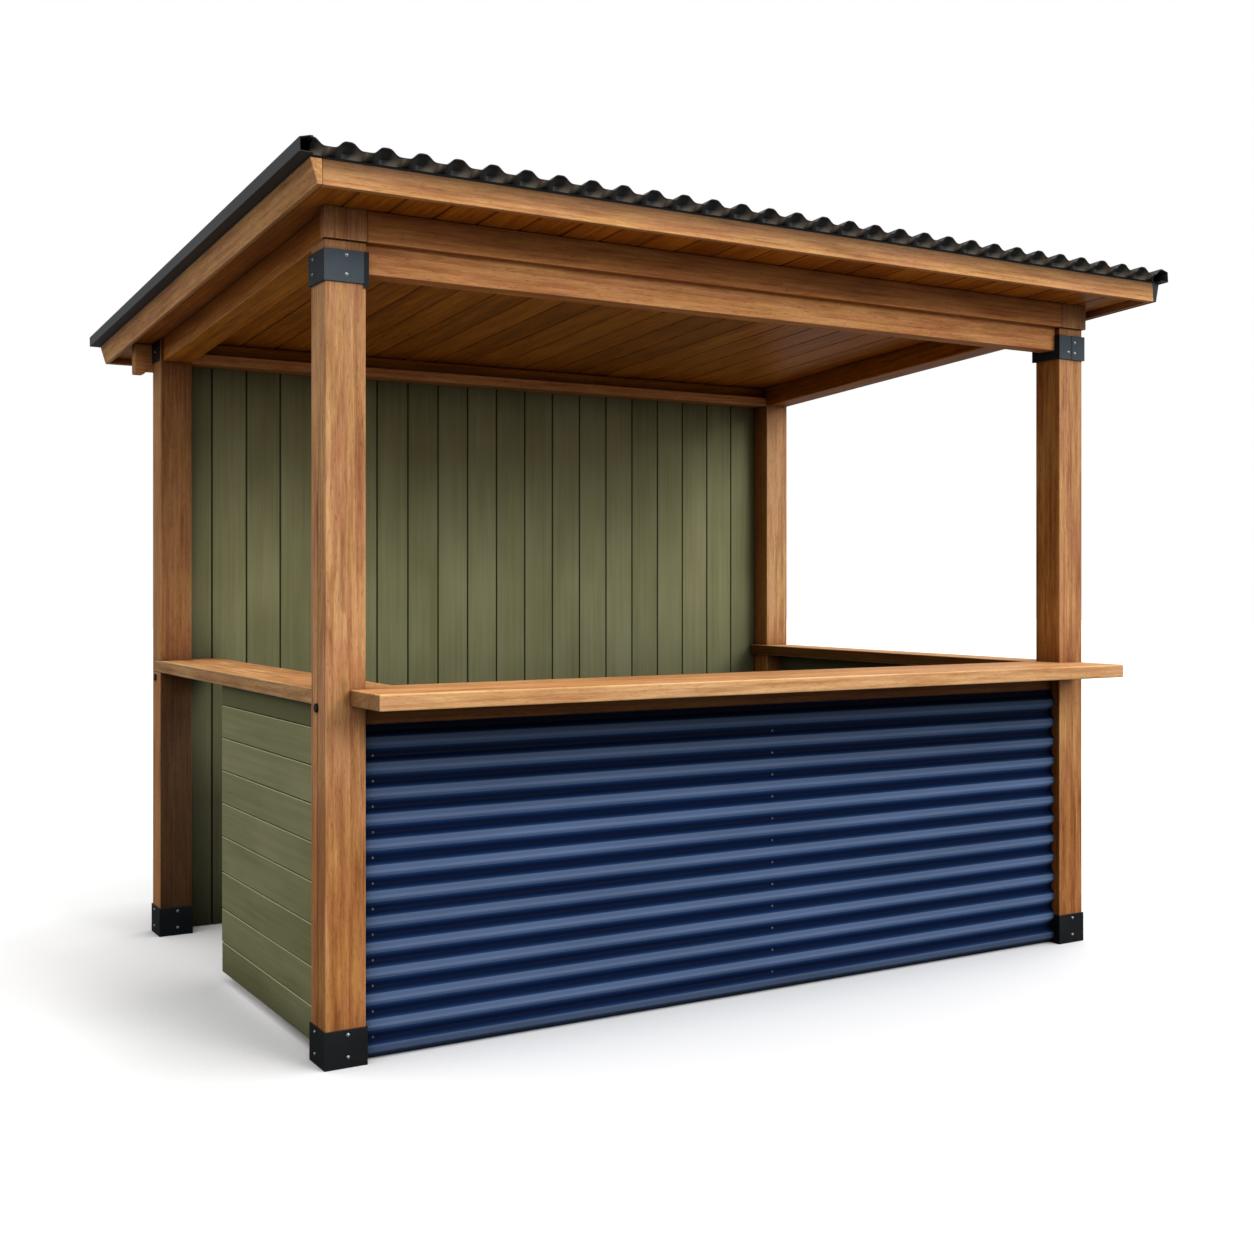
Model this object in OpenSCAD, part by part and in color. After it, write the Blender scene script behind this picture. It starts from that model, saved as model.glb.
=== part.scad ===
// Wooden market stall with a mono-pitch roof, three counters and a corrugated front
// Millimetres, +X to the right, +Y to the rear, +Z up, origin on the ground under the middle of its box

/* [Frame] */
// Width over the outer faces of the posts
frame_w = 3000; // [2600:10:3600]
// Depth over the outer faces of the posts
frame_d = 1980; // [1700:10:2400]
// Side of the square posts
post_w = 120; // [100:5:140]
// Height of the front posts
post_h = 2325; // [2250:5:2500]
// Depth of the front beam, measured down from the top of the front posts
front_beam_drop = 85; // [70:5:110]
// Thickness of the front beam
front_beam_t = 75; // [60:5:90]
// Height of the side beams, square to the roof
side_beam_h = 88; // [75:1:110]
// Distance of the side beams' outer faces inside the posts' outer faces
side_beam_inset = 11; // [5:1:20]
// Thickness of the front rim board and its corner blocks
rim_t = 32; // [25:1:40]
// How far the rim board stands in front of the front posts
rim_proud = 12; // [5:1:18]
// How far the corner blocks stand outside the front posts
block_proud = 8; // [4:1:12]
// Thickness of the beam behind the rear posts
rear_beam_t = 45; // [35:5:60]
// How far the rear beam hangs below the ceiling
rear_beam_h = 120; // [100:5:140]
// How far the rear beam runs past the posts at each end
rear_beam_tail = 70; // [40:5:90]
// Depth of the step under each end of the rear beam
rear_beam_step = 14; // [6:1:20]
// Height of the plate over the rear wall
plate_h = 40; // [30:1:50]
// How far the rear header stands behind the front of the plate
header_back = 30; // [20:1:45]
// Thickness of the rear header
header_t = 40; // [30:1:50]

/* [Steel] */
// Thickness of the steel of shoes and straps
steel_t = 4; // [3:0.5:6]
// Height of the shoes at the feet of the posts
shoe_h = 108; // [90:1:130]
// Thickness of the base plate in each shoe
shoe_base_t = 6; // [4:1:10]
// Height of the collars at the heads of the front posts
collar_h = 90; // [70:1:110]
// Distance from the head of a front post down to its collar
collar_down = 28; // [15:1:40]
// Thickness of the steel of the collars
collar_t = 6; // [4:0.5:9]
// How far the inner plates of the collars run past the rear of the front posts
collar_tail = 14; // [8:1:30]
// Width of the straps at the heads of the rear posts
strap_w = 108; // [90:1:115]
// Height of the straps at the heads of the rear posts
strap_h = 78; // [60:1:100]

/* [Roof] */
// Fall of the roof to the rear, in degrees
roof_fall = 3.4; // [2:0.1:5]
// Overhang of the roof boards in front of the posts
front_overhang = 250; // [200:10:300]
// Overhang of the roof boards behind the posts
rear_overhang = 335; // [250:5:400]
// Overhang of the foot of the roof boards at each side
side_overhang = 108; // [90:2:140]
// Thickness of the front and rear roof boards
edge_board_t = 22; // [18:1:30]
// Thickness of the side roof boards at their foot
barge_t = 14; // [12:1:30]
// Height of the roof boards
edge_board_h = 70; // [60:1:90]
// How far the roof boards hang below the ceiling
edge_board_drop = 24; // [15:1:35]
// How far the side boards lean outward over their height
barge_lean = 20; // [10:1:40]
// Thickness of the ceiling boards
ceiling_t = 18; // [15:1:25]
// Width of the battens under the roof sheet
batten_w = 48; // [38:1:60]
// Number of battens
batten_count = 5; // [4:1:7]
// Height of the dark strips on the roof boards under the ends of the roof sheet
eave_strip_h = 11; // [10:1:28]
// Height of the fillers that slope out from the dark strips to the roof sheet
filler_h = 13; // [4:1:30]
// Number of waves in the roof sheet
roof_waves = 31; // [26:1:38]
// Height of a wave of the roof sheet
roof_wave_h = 20; // [16:1:30]
// Thickness of the roof sheet
roof_sheet_t = 2; // [1.5:0.5:3]
// How far the roof sheet runs past the front and rear boards
sheet_overrun = 25; // [15:1:40]
// Thickness of the side flashings
flashing_t = 2.5; // [2:0.5:4]
// Height of the outer leg of a side flashing
flashing_leg = 46; // [28:1:56]
// Width of the part of a flashing that lies on the roof sheet
flashing_lap = 8; // [4:1:45]
// Distance of the roof sheet's edges inside the outer faces of the flashings
sheet_inset = 30; // [20:1:45]
// How far the outer edge of a flashing is folded down from its lap
flashing_fold = 8; // [2:1:14]
// How far a flashing stands outside the head of the side board
flashing_out = 36; // [18:1:40]
// Thickness of the folded casing over the outer face of the right side board
casing_t = 14; // [3:1:16]

/* [Walls] */
// Thickness of the boarded walls
wall_t = 20; // [16:1:26]
// Distance of the side walls inside the posts' outer faces
wall_inset = 20; // [10:1:30]
// Height of the foot of the side walls above the ground
side_wall_foot = 34; // [20:1:60]
// Height of the foot of the rear wall above the ground
rear_wall_foot = 3; // [2:1:40]
// Clear width of the doorway in the left side
doorway_w = 770; // [650:10:900]
// Section of the stud at the free end of the left wall
stud_w = 45; // [38:1:60]
// Distance of the corrugated front behind the posts' front faces
panel_back = 25; // [15:1:40]
// Height of the foot of the corrugated front above the ground
panel_foot = 4; // [3:1:40]
// Height of the corrugated front
panel_h = 953; // [800:1:960]
// Number of waves in the corrugated front
panel_waves = 13; // [10:1:16]
// Height of the lowest crest of the corrugated front above its foot
panel_crest = 28; // [15:1:36]
// Depth of a wave of the corrugated front
panel_wave_h = 16; // [10:1:22]
// Thickness of the corrugated front
panel_t = 2; // [1.5:0.5:3]
// Height of the rails behind the corrugated front
rail_h = 120; // [100:5:140]
// Thickness of the rails behind the corrugated front
rail_t = 45; // [35:5:55]

/* [Counters] */
// Height of the rail that shows between the corrugated front and the counter
rail_show = 59; // [40:1:120]
// Thickness of the counters
counter_t = 46; // [35:1:60]
// How far the front counter stands in front of the posts
counter_out = 225; // [150:5:300]
// Distance of the front counter's left end inside the post's outer face
counter_end_left = 72; // [10:1:95]
// Distance of the front counter's right end inside the post's outer face
counter_end_right = 28; // [10:1:95]
// Width of the left shelf from the posts' outer faces
shelf_w = 250; // [200:5:320]
// Width of the right shelf from the posts' outer faces
shelf_right_w = 150; // [145:1:320]
// Width of the tongue of a shelf let into the rear post
tongue_w = 30; // [20:1:45]
// Length of the tongue of a shelf along the rear post
tongue_l = 90; // [60:1:95]

/* [Hidden] */

timber = "peru";
stain = "sienna";
olive = "darkolivegreen";
navy = "midnightblue";
charcoal = "darkslategray";
steel = "dimgray";

// Points along one wave of a corrugated sheet
wave_steps = 12;
// How far a cut reaches past the face it opens
cut = 1;

// Places across the stall
left_x = -frame_w / 2;
right_x = frame_w / 2;
left_inner_x = left_x + post_w;
right_inner_x = right_x - post_w;

// Heights in the roof, square to its slope, from the foot of the side beams
ceiling_v = side_beam_h;
board_foot_v = ceiling_v - edge_board_drop;
board_head_v = board_foot_v + edge_board_h;
strip_head_v = board_head_v + eave_strip_h;
sheet_v = strip_head_v + filler_h;
sheet_head_v = sheet_v + roof_wave_h + roof_sheet_t;

// Places along the slope, from the rear face of the rim board
rim_back = rim_t - rim_proud;
fascia_front_u = -(front_overhang + rim_back);
fascia_rear_u = (frame_d - rim_back + rear_overhang) / cos(roof_fall);
sheet_front_u = fascia_front_u - sheet_overrun;
sheet_rear_u = fascia_rear_u + sheet_overrun;

// The front of the posts, set so that the origin lies under the middle of the roof's box
roof_front_y = sheet_front_u * cos(roof_fall) + board_head_v * sin(roof_fall);
roof_rear_y = sheet_rear_u * cos(roof_fall) + (sheet_head_v + flashing_t) * sin(roof_fall);
front_y = -rim_back - (roof_front_y + roof_rear_y) / 2;
rear_y = front_y + frame_d;
rim_back_y = front_y + rim_back;
rear_post_y = rear_y - post_w;
wall_y = rear_y - wall_t;

// Places across the roof
board_half = frame_w / 2 + side_overhang;
ceiling_half = board_half - barge_t;
head_half = board_half + barge_lean;
flashing_half = head_half + flashing_out;
sheet_half = flashing_half - sheet_inset;

// Heights of the foot of the side beams and of the ceiling at a depth y
function beam_foot_z(y) = post_h - (y - rim_back_y) * tan(roof_fall);
function ceiling_z(y) = beam_foot_z(y) + ceiling_v / cos(roof_fall);

// Place of the outer face of a side board at a height v
function board_face_x(v) = board_half + barge_lean * (v - board_foot_v) / edge_board_h;

// Heights of the lower parts
counter_foot_z = panel_foot + panel_h + rail_show;
counter_z = counter_foot_z + counter_t;
plate_z = beam_foot_z(rear_post_y);
front_beam_z = post_h - front_beam_drop;
panel_front_y = front_y + panel_back;
rail_y = panel_front_y + panel_wave_h + panel_t;
left_wall_end_y = rear_post_y - doorway_w;

// Extrudes an outline drawn in Y and Z along X
module along_x(x0, x1) {
    translate([x0, 0, 0]) rotate([90, 0, 90]) linear_extrude(x1 - x0) children();
}

// Moves pieces drawn on the slope of the roof to their place
module on_slope() {
    translate([0, rim_back_y, post_h]) rotate([-roof_fall, 0, 0]) children();
}

// Extrudes an outline drawn across the roof from u0 to u1 along the slope
module along_slope(u0, u1) {
    on_slope() translate([0, u1, 0]) rotate([90, 0, 0]) linear_extrude(u1 - u0) children();
}

// Box between two corners
module box(low, high) {
    translate(low) cube(high - low);
}

// Wavy sheet of n waves over a length, standing on its troughs, with flattened crests and troughs and its
// first crest at a distance from its start
module wave_outline(length, n, height, thickness, first_crest) {
    steps = n * wave_steps;
    start = -360 * first_crest * n / length;
    function flattened(c) = c * (3 - c * c) / 2;
    function rise(i) = height * (1 + flattened(cos(360 * i / wave_steps + start))) / 2;
    top = [for (i = [0:steps]) [length * i / steps, rise(i) + thickness]];
    foot = [for (i = [steps:-1:0]) [length * i / steps, rise(i)]];
    polygon(concat(top, foot));
}

// Front post, cut to the slope behind the rim board
module front_post(x) {
    post_back_y = front_y + post_w;
    color(timber) along_x(x, x + post_w) polygon([
        [front_y, shoe_base_t], [post_back_y, shoe_base_t],
        [post_back_y, beam_foot_z(post_back_y)], [rim_back_y, post_h], [front_y, post_h]
    ]);
}

// Rear post, cut to the ceiling, with a housing for the tongue of the shelf
module rear_post(x, housing_x) {
    color(timber) difference() {
        along_x(x, x + post_w) polygon([
            [rear_post_y, shoe_base_t], [rear_y, shoe_base_t],
            [rear_y, ceiling_z(rear_y)], [rear_post_y, ceiling_z(rear_post_y)]
        ]);
        box([housing_x, rear_post_y - cut, counter_foot_z],
            [housing_x + tongue_w, rear_post_y + tongue_l, counter_z]);
    }
}

// Steel cup round the foot of a post
module shoe_block(x, y) {
    box([x - steel_t, y - steel_t, 0], [x + post_w + steel_t, y + post_w + steel_t, shoe_h]);
}

module shoe(x, y) {
    color(steel) difference() {
        shoe_block(x, y);
        box([x, y, shoe_base_t], [x + post_w, y + post_w, shoe_h + cut]);
    }
}

// Cuts a low piece round the shoes at its ends
module round_shoes() {
    difference() {
        children();
        for (x = [left_x, right_inner_x], y = [front_y, rear_post_y]) shoe_block(x, y);
    }
}

// Steel sleeve round the head of a front post, open where the front beam comes in
module collar(x, beam_side_x, inner_x) {
    head_z = post_h - collar_down;
    foot_z = head_z - collar_h;
    back_y = front_y + post_w;
    color(steel) difference() {
        union() {
            box([x - collar_t, front_y - collar_t, foot_z], [x + post_w + collar_t, back_y + collar_t, head_z]);
            box([inner_x, front_y, foot_z], [inner_x + collar_t, back_y + collar_tail, head_z]);
        }
        box([x, front_y, foot_z - cut], [x + post_w, back_y, head_z + cut]);
        box([beam_side_x - collar_t - cut, rim_back_y, front_beam_z],
            [beam_side_x + collar_t + cut, rim_back_y + front_beam_t, head_z + cut]);
    }
}

// Steel plate on the outer face of a rear post, under the ceiling
module strap(x) {
    strap_y = rear_post_y + (post_w - strap_w) / 2;
    head_z = ceiling_z(strap_y + strap_w);
    color(steel) box([x, strap_y, head_z - strap_h], [x + steel_t, strap_y + strap_w, head_z]);
}

// Piece of the rim, from the head of the posts to the ceiling
module rim(x0, x1) {
    color(timber) along_x(x0, x1) polygon([
        [front_y - rim_proud, post_h], [rim_back_y, post_h],
        [rim_back_y, ceiling_z(rim_back_y)], [front_y - rim_proud, ceiling_z(front_y - rim_proud)]
    ]);
}

// Beam across the front between the posts, up to the ceiling
module front_beam() {
    back_y = rim_back_y + front_beam_t;
    color(timber) along_x(left_inner_x, right_inner_x) polygon([
        [rim_back_y, front_beam_z], [back_y, front_beam_z],
        [back_y, ceiling_z(back_y)], [rim_back_y, ceiling_z(rim_back_y)]
    ]);
}

// Beam along one side, from the rim to the rear post
module side_beam(x) {
    color(stain) along_x(x, x + post_w - side_beam_inset) polygon([
        [rim_back_y, beam_foot_z(rim_back_y)], [rear_post_y, beam_foot_z(rear_post_y)],
        [rear_post_y, ceiling_z(rear_post_y)], [rim_back_y, ceiling_z(rim_back_y)]
    ]);
}

// Beam behind the rear posts, with a slanted step under each end
module rear_beam() {
    back_y = rear_y + rear_beam_t;
    foot_z = ceiling_z(rear_y) - rear_beam_h;
    step_x = frame_w / 2 + rear_beam_tail / 2;
    head_x = step_x - rear_beam_step;
    color(stain) difference() {
        along_x(left_x - rear_beam_tail, right_x + rear_beam_tail) polygon([
            [rear_y, foot_z], [back_y, foot_z], [back_y, ceiling_z(back_y)], [rear_y, ceiling_z(rear_y)]
        ]);
        translate([0, back_y + cut, foot_z]) rotate([90, 0, 0]) linear_extrude(rear_beam_t + 2 * cut) polygon([
            [-step_x - cut, -cut], [step_x + cut, -cut], [head_x, rear_beam_step], [-head_x, rear_beam_step]
        ]);
    }
}

// Plate laid flat on the rear wall between the rear posts
module rear_wall_plate() {
    color(timber) box([left_inner_x, rear_post_y, plate_z], [right_inner_x, rear_y, plate_z + plate_h]);
}

// Board between the plate and the ceiling
module rear_header() {
    front = rear_post_y + header_back;
    back = front + header_t;
    color(stain) along_x(left_inner_x, right_inner_x) polygon([
        [front, plate_z + plate_h], [back, plate_z + plate_h],
        [back, ceiling_z(back)], [front, ceiling_z(front)]
    ]);
}

// Boards of the ceiling, inside the roof boards
module ceiling_boards() {
    color(stain) on_slope() box(
        [-ceiling_half, fascia_front_u + edge_board_t, ceiling_v],
        [ceiling_half, fascia_rear_u - edge_board_t, ceiling_v + ceiling_t]
    );
}

// Board across the front or the rear end of the roof, butted against the left side board
module fascia(u0) {
    color(timber) along_slope(u0, u0 + edge_board_t) polygon([
        [-ceiling_half, board_foot_v], [board_half, board_foot_v],
        [board_half, board_head_v], [-ceiling_half, board_head_v]
    ]);
}

// Side board of the roof, leaning outward at its head
module barge_outline() {
    polygon([
        [ceiling_half, board_foot_v], [board_half, board_foot_v],
        [head_half, board_head_v], [ceiling_half, board_head_v]
    ]);
}

module barge_board(u0, u1) {
    color(timber) along_slope(u0, u1) barge_outline();
}

// Battens between the ceiling and the roof sheet
module roof_battens() {
    first_u = fascia_front_u + edge_board_t;
    last_u = fascia_rear_u - edge_board_t - batten_w;
    color(stain) on_slope() for (i = [0:batten_count - 1]) {
        u = first_u + (last_u - first_u) * i / (batten_count - 1);
        box([-ceiling_half, u, ceiling_v + ceiling_t], [ceiling_half, u + batten_w, sheet_v]);
    }
}

// Corrugated sheet with its waves running down the slope
module roof_sheet() {
    color(charcoal) along_slope(sheet_front_u, sheet_rear_u)
        translate([-sheet_half, sheet_v])
            wave_outline(2 * sheet_half, roof_waves, roof_wave_h, roof_sheet_t, 0);
}

// Folded side flashing: lap on the sheet, sloping edge, outer leg and return, with an inner leg down to
// the side board where the return lies over its head
module flashing_outline() {
    head = sheet_head_v + flashing_t;
    foot = head - flashing_leg;
    leg_head = head - flashing_fold;
    polygon([
        [sheet_half - flashing_lap, sheet_head_v], [sheet_half, sheet_head_v],
        [flashing_half - flashing_t, leg_head - flashing_t], [flashing_half - flashing_t, foot],
        [flashing_half, foot], [flashing_half, leg_head],
        [sheet_half, head], [sheet_half - flashing_lap, head]
    ]);
    if (foot < board_head_v) polygon([
        [board_face_x(foot), foot], [flashing_half, foot],
        [flashing_half, foot + flashing_t], [board_face_x(foot + flashing_t), foot + flashing_t]
    ]);
    else {
        translate([head_half - flashing_t, foot]) square([flashing_out + flashing_t, flashing_t]);
        translate([head_half - flashing_t, board_head_v])
            square([flashing_t, foot + flashing_t - board_head_v]);
    }
}

module flashing_left() {
    color(charcoal) along_slope(sheet_front_u, sheet_rear_u) mirror([1, 0]) flashing_outline();
}

// The right flashing also covers the outer face of its side board and closes its ends beside the fascias
module flashing_right() {
    color(charcoal) {
        along_slope(sheet_front_u, sheet_rear_u) flashing_outline();
        along_slope(fascia_front_u, fascia_rear_u) {
            polygon([
                [board_half, board_foot_v], [board_half + casing_t, board_foot_v],
                [head_half + casing_t, board_head_v], [head_half, board_head_v]
            ]);
            translate([head_half - flashing_t, board_head_v]) square([flashing_t + casing_t, flashing_t]);
        }
        for (u = [fascia_front_u, fascia_rear_u - edge_board_t])
            along_slope(u, u + edge_board_t)
                polygon([[board_half, board_foot_v], [head_half, board_head_v], [board_half, board_head_v]]);
    }
}

// Dark strip on a roof board, with a filler that slopes out to the end of the roof sheet
module eave_strip(inner_u, outer_u, end_u) {
    color(charcoal) on_slope() along_x(flashing_t - head_half, head_half - flashing_t) polygon([
        [outer_u, board_head_v], [inner_u, board_head_v], [inner_u, sheet_v],
        [end_u, sheet_v], [outer_u, strip_head_v]
    ]);
}

// Corrugated front between the posts, its waves running across
module front_panel() {
    color(navy) round_shoes() along_x(left_inner_x, right_inner_x)
        translate([rail_y, panel_foot]) rotate(90)
            wave_outline(panel_h, panel_waves, panel_wave_h, panel_t, panel_crest);
}

// Rails and stud behind the corrugated front
module front_top_rail() {
    color(timber) box([left_inner_x, rail_y, counter_foot_z - rail_h],
                      [right_inner_x, rail_y + rail_t, counter_foot_z]);
}

module front_bottom_rail() {
    color(timber) round_shoes() box([left_inner_x, rail_y, panel_foot],
                                    [right_inner_x, rail_y + rail_t, panel_foot + rail_h]);
}

module front_stud() {
    color(timber) box([-rail_t / 2, rail_y, panel_foot + rail_h],
                      [rail_t / 2, rail_y + rail_t, counter_foot_z - rail_h]);
}

// Boarded walls under the side shelves and across the rear
module left_wall() {
    x = left_x + wall_inset;
    color(olive) round_shoes() box([x, front_y + post_w, side_wall_foot],
                                   [x + wall_t, left_wall_end_y, counter_foot_z]);
}

module left_wall_stud() {
    x = left_x + wall_inset + wall_t;
    color(olive) box([x, left_wall_end_y - stud_w, side_wall_foot],
                     [x + stud_w, left_wall_end_y, counter_foot_z]);
}

module right_wall() {
    x = right_x - wall_inset - wall_t;
    color(olive) round_shoes() box([x, front_y + post_w, side_wall_foot],
                                   [x + wall_t, rear_post_y, counter_foot_z]);
}

module rear_wall() {
    color(olive) round_shoes() box([left_inner_x, wall_y, rear_wall_foot], [right_inner_x, rear_y, plate_z]);
}

// Front counter, notched round the front posts
module counter_front() {
    front = front_y - counter_out;
    back = front_y + post_w;
    color(timber) translate([0, 0, counter_foot_z]) linear_extrude(counter_t) polygon([
        [left_x + counter_end_left, front], [right_x - counter_end_right, front],
        [right_x - counter_end_right, front_y], [right_inner_x, front_y], [right_inner_x, back],
        [left_inner_x, back], [left_inner_x, front_y], [left_x + counter_end_left, front_y]
    ]);
}

// Side shelf, notched round the rear post and let into its outer face
module shelf(width) {
    front = front_y + post_w;
    color(timber) translate([0, 0, counter_foot_z]) linear_extrude(counter_t) polygon([
        [left_x, front], [left_x + width, front], [left_x + width, wall_y], [left_inner_x, wall_y],
        [left_inner_x, rear_post_y], [left_x + tongue_w, rear_post_y],
        [left_x + tongue_w, rear_post_y + tongue_l], [left_x, rear_post_y + tongue_l]
    ]);
}

front_post(left_x);  // post_front_left
front_post(right_inner_x);  // post_front_right
rear_post(left_x, left_x);  // post_rear_left
rear_post(right_inner_x, right_x - tongue_w);  // post_rear_right
shoe(left_x, front_y);  // shoe_front_left
shoe(right_inner_x, front_y);  // shoe_front_right
shoe(left_x, rear_post_y);  // shoe_rear_left
shoe(right_inner_x, rear_post_y);  // shoe_rear_right
collar(left_x, left_inner_x, left_inner_x);  // collar_front_left
collar(right_inner_x, right_inner_x, right_inner_x - collar_t);  // collar_front_right
strap(left_x - steel_t);  // strap_rear_left
strap(right_x);  // strap_rear_right
rim(left_x - block_proud, left_inner_x);  // corner_block_left
rim(right_inner_x, right_x + block_proud);  // corner_block_right
rim(left_inner_x, right_inner_x);  // front_rim_board
front_beam();
side_beam(left_x + side_beam_inset);  // side_beam_left
side_beam(right_inner_x);  // side_beam_right
rear_beam();
rear_wall_plate();
rear_header();
ceiling_boards();
fascia(fascia_front_u);  // fascia_front
fascia(fascia_rear_u - edge_board_t);  // fascia_rear
mirror([1, 0, 0]) barge_board(fascia_front_u, fascia_rear_u);  // barge_board_left
barge_board(fascia_front_u + edge_board_t, fascia_rear_u - edge_board_t);  // barge_board_right
roof_battens();
roof_sheet();
flashing_left();
flashing_right();
eave_strip(fascia_front_u + edge_board_t, fascia_front_u, sheet_front_u);  // eave_strip_front
eave_strip(fascia_rear_u - edge_board_t, fascia_rear_u, sheet_rear_u);  // eave_strip_rear
front_panel();
front_top_rail();
front_bottom_rail();
front_stud();
left_wall();
left_wall_stud();
right_wall();
rear_wall();
counter_front();
shelf(shelf_w);  // shelf_left
mirror([1, 0, 0]) shelf(shelf_right_w);  // shelf_right
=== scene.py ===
import math
import random

import bmesh
import bpy
from mathutils import Matrix, Vector


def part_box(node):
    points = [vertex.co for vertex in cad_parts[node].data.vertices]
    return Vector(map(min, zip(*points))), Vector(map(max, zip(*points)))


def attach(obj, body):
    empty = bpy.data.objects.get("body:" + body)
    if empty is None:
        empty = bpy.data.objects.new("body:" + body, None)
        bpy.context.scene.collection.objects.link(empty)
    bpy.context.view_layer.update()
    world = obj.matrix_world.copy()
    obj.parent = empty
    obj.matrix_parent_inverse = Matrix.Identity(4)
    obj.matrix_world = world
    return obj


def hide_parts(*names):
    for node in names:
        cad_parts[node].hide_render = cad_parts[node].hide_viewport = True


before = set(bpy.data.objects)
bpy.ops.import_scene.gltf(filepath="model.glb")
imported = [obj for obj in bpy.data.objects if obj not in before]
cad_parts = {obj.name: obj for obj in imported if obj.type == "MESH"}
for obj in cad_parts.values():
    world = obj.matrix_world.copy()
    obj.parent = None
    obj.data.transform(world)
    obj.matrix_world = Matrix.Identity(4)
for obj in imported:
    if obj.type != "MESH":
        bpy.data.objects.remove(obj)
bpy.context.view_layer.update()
print("frame loaded:", len(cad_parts), "nodes")

xAxis = Vector((1, 0, 0))
yAxis = Vector((0, 1, 0))
zAxis = Vector((0, 0, 1))


# Measuring the frame

def span(node, direction):
    reach = [v.co.dot(direction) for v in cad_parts[node].data.vertices]
    return min(reach), max(reach)


def roofAxes():
    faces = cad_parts["ceiling_boards"].data.polygons
    under = max(faces, key=lambda face: -face.normal.z * face.area)
    square = -under.normal  # square to the roof, pointing up
    return square.cross(xAxis).normalized(), square.normalized()


roofDown, roofUp = roofAxes()
print("roof falls", round(math.degrees(math.asin(-roofDown.z)), 2), "degrees to the rear")


# Node helpers

def addNode(tree, kind, inputs=None, **settings):
    made = tree.nodes.new(kind)
    for key, value in settings.items():
        setattr(made, key, value)
    for key, value in (inputs or {}).items():
        socket = made.inputs[key]
        if isinstance(value, bpy.types.NodeSocket):
            tree.links.new(value, socket)
        else:
            socket.default_value = value
    return made


def calc(tree, operation, a, b=0.0, c=0.0):
    made = addNode(tree, "ShaderNodeMath", {0: a, 1: b, 2: c}, operation=operation)
    return made.outputs[0]


def remap(tree, value, low, high, toLow=0.0, toHigh=1.0):
    inputs = {"Value": value, "From Min": low, "From Max": high, "To Min": toLow, "To Max": toHigh}
    return addNode(tree, "ShaderNodeMapRange", inputs).outputs["Result"]


def blendColour(tree, share, a, b, mode="MIX"):
    made = tree.nodes.new("ShaderNodeMix")
    made.data_type = "RGBA"
    made.blend_type = mode
    # the node holds a set of sockets for each kind of data, and these take colours
    sockets = {"Factor": made.inputs[0], "A": made.inputs[6], "B": made.inputs[7]}
    for key, value in {"Factor": share, "A": a, "B": b}.items():
        if isinstance(value, bpy.types.NodeSocket):
            tree.links.new(value, sockets[key])
        else:
            sockets[key].default_value = value if key == "Factor" else colour(value)
    return made.outputs[2]


def colour(rgb):
    return (*rgb[:3], 1.0)


def stretched(tree, place, stretch):
    return addNode(tree, "ShaderNodeVectorMath", {0: place, 1: stretch}, operation="MULTIPLY").outputs[0]


def noiseAt(tree, place, stretch, detail=2.0, roughness=0.5):
    scaled = stretched(tree, place, stretch)
    inputs = {"Vector": scaled, "Scale": 1.0, "Detail": detail, "Roughness": roughness}
    return addNode(tree, "ShaderNodeTexNoise", inputs).outputs["Fac"]


def colourRamp(tree, value, stops):
    made = addNode(tree, "ShaderNodeValToRGB", {"Fac": value})
    ramp = made.color_ramp
    while len(ramp.elements) < len(stops):
        ramp.elements.new(0.5)
    for element, (place, rgb) in zip(ramp.elements, stops):
        element.position = place
        element.color = colour(rgb)
    return made.outputs["Color"]


def startMaterial(name, roughness=0.5, specular=0.5, metallic=0.0):
    material = bpy.data.materials.new(name)
    material.use_nodes = True
    tree = material.node_tree
    shader = tree.nodes["Principled BSDF"]
    shader.inputs["Roughness"].default_value = roughness
    shader.inputs["Specular IOR Level"].default_value = specular
    shader.inputs["Metallic"].default_value = metallic
    return material, tree, shader


def addBump(tree, shader, height, strength, distance):
    inputs = {"Height": height, "Strength": strength, "Distance": distance}
    bump = addNode(tree, "ShaderNodeBump", inputs)
    tree.links.new(bump.outputs["Normal"], shader.inputs["Normal"])


def readGrain(tree):
    return addNode(tree, "ShaderNodeAttribute", attribute_name="grain").outputs["Vector"]


def readMarks(tree):
    # marks hold worn edges and painted highlights on board arrises, end grain and dark joints, and the tone
    # of each board
    marks = addNode(tree, "ShaderNodeAttribute", attribute_name="marks").outputs["Vector"]
    split = addNode(tree, "ShaderNodeSeparateXYZ", {"Vector": marks})
    return split.outputs[0], split.outputs[1], split.outputs[2]


def placeOf(tree):
    return addNode(tree, "ShaderNodeNewGeometry").outputs["Position"]


def partOf(tree, vector, axis):
    return addNode(tree, "ShaderNodeSeparateXYZ", {"Vector": vector}).outputs[axis]


def facingOf(tree, axis):
    # how far a face looks along an axis
    return partOf(tree, addNode(tree, "ShaderNodeNewGeometry").outputs["True Normal"], axis)


def times(tree, a, b):
    return calc(tree, "MULTIPLY", a, b)


def weighted(tree, parts, total=0.0):
    # adds up values, each times its share
    for value, share in parts:
        total = calc(tree, "MULTIPLY_ADD", value, share, total)
    return total


def tinted(tree, base, tint):
    return blendColour(tree, 1.0, base, tint, "MULTIPLY")


def greyOf(tree, value):
    inputs = {"Red": value, "Green": value, "Blue": value}
    return addNode(tree, "ShaderNodeCombineColor", inputs).outputs[0]


shading = {"samples": 3, "forward": (-0.2, -0.6), "left": (-0.6, -0.9), "up": (0.5, 0.9)}


def openness(tree, inputs, samples):
    return addNode(tree, "ShaderNodeAmbientOcclusion", inputs, samples=samples).outputs["AO"]


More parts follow.
